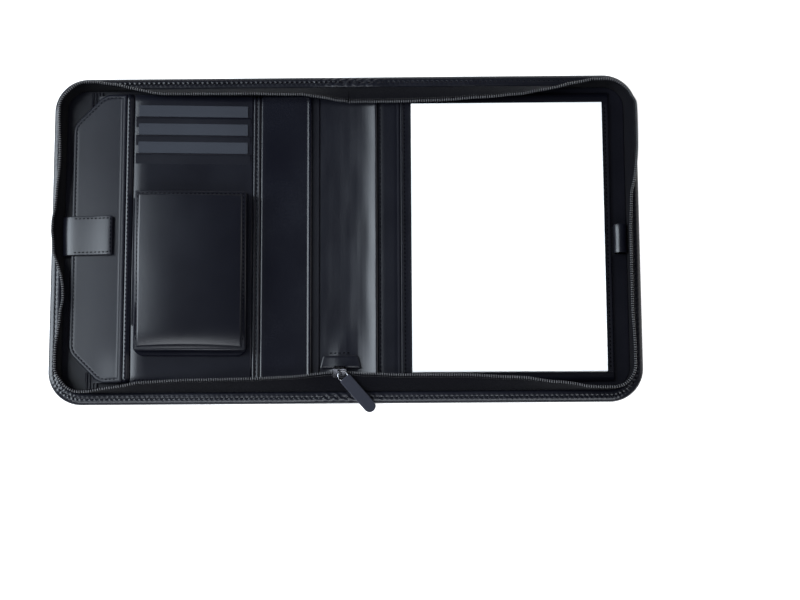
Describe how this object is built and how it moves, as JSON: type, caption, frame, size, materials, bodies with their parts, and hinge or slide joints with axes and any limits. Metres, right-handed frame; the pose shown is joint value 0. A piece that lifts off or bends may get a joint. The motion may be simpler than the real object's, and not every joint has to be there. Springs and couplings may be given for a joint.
{
  "type": "zip-round leather document case, lying open, with its writing pad",
  "caption": "Leather document case lying open: file pocket, card slots and phone pocket on the left, writing pad and pen loop on the right, standing zip tapes round the edge.",
  "frame": {"origin": "on the table under the middle of the open case", "axes": "+X across the open case towards the pad, +Y up the page, +Z off the table"},
  "size_m": [0.4543, 0.2638, 0.026],
  "materials": {
    "leather": "smooth black leather with a soft sheen",
    "lining": "thin black lining leather, duller",
    "tape": "woven black zip tape",
    "teeth": "dark grey coiled zip teeth",
    "metal": "dark plated zip slider",
    "wire": "bright steel wire",
    "pull": "dark grey matt pull strap",
    "grey": "plain grey slot lining",
    "paper": "white uncoated paper"
  },
  "bodies": {
    "root": {"outer_cover": "leather", "edge_binding": "leather", "lining_left": "lining", "lining_right": "lining", "spine_lining": "leather", "zip_tape_left": "tape", "zip_tape_right": "tape", "zip_chain_left": "teeth", "zip_chain_right": "teeth", "zip_slider": "metal", "pull_ring": "wire", "pull_tab": "pull", "zip_end_tab": "leather", "pocket_gusset_top": "lining", "pocket_gusset_bottom": "lining", "pocket_edge_panel": "leather", "closure_tab": "leather", "seam_welt": "leather", "card_panel": "leather", "card_slot_lining_1": "grey", "card_slot_lining_2": "grey", "card_slot_lining_3": "grey", "phone_pocket_backing": "leather", "phone_pocket_gusset": "lining", "phone_pocket_front": "leather", "inner_welt": "leather", "inner_panel": "lining", "hinge_strip": "leather", "pad_panel": "lining", "writing_pad": "paper", "pad_side_strip": "leather", "pen_loop": "leather"}
  },
  "joints": []
}
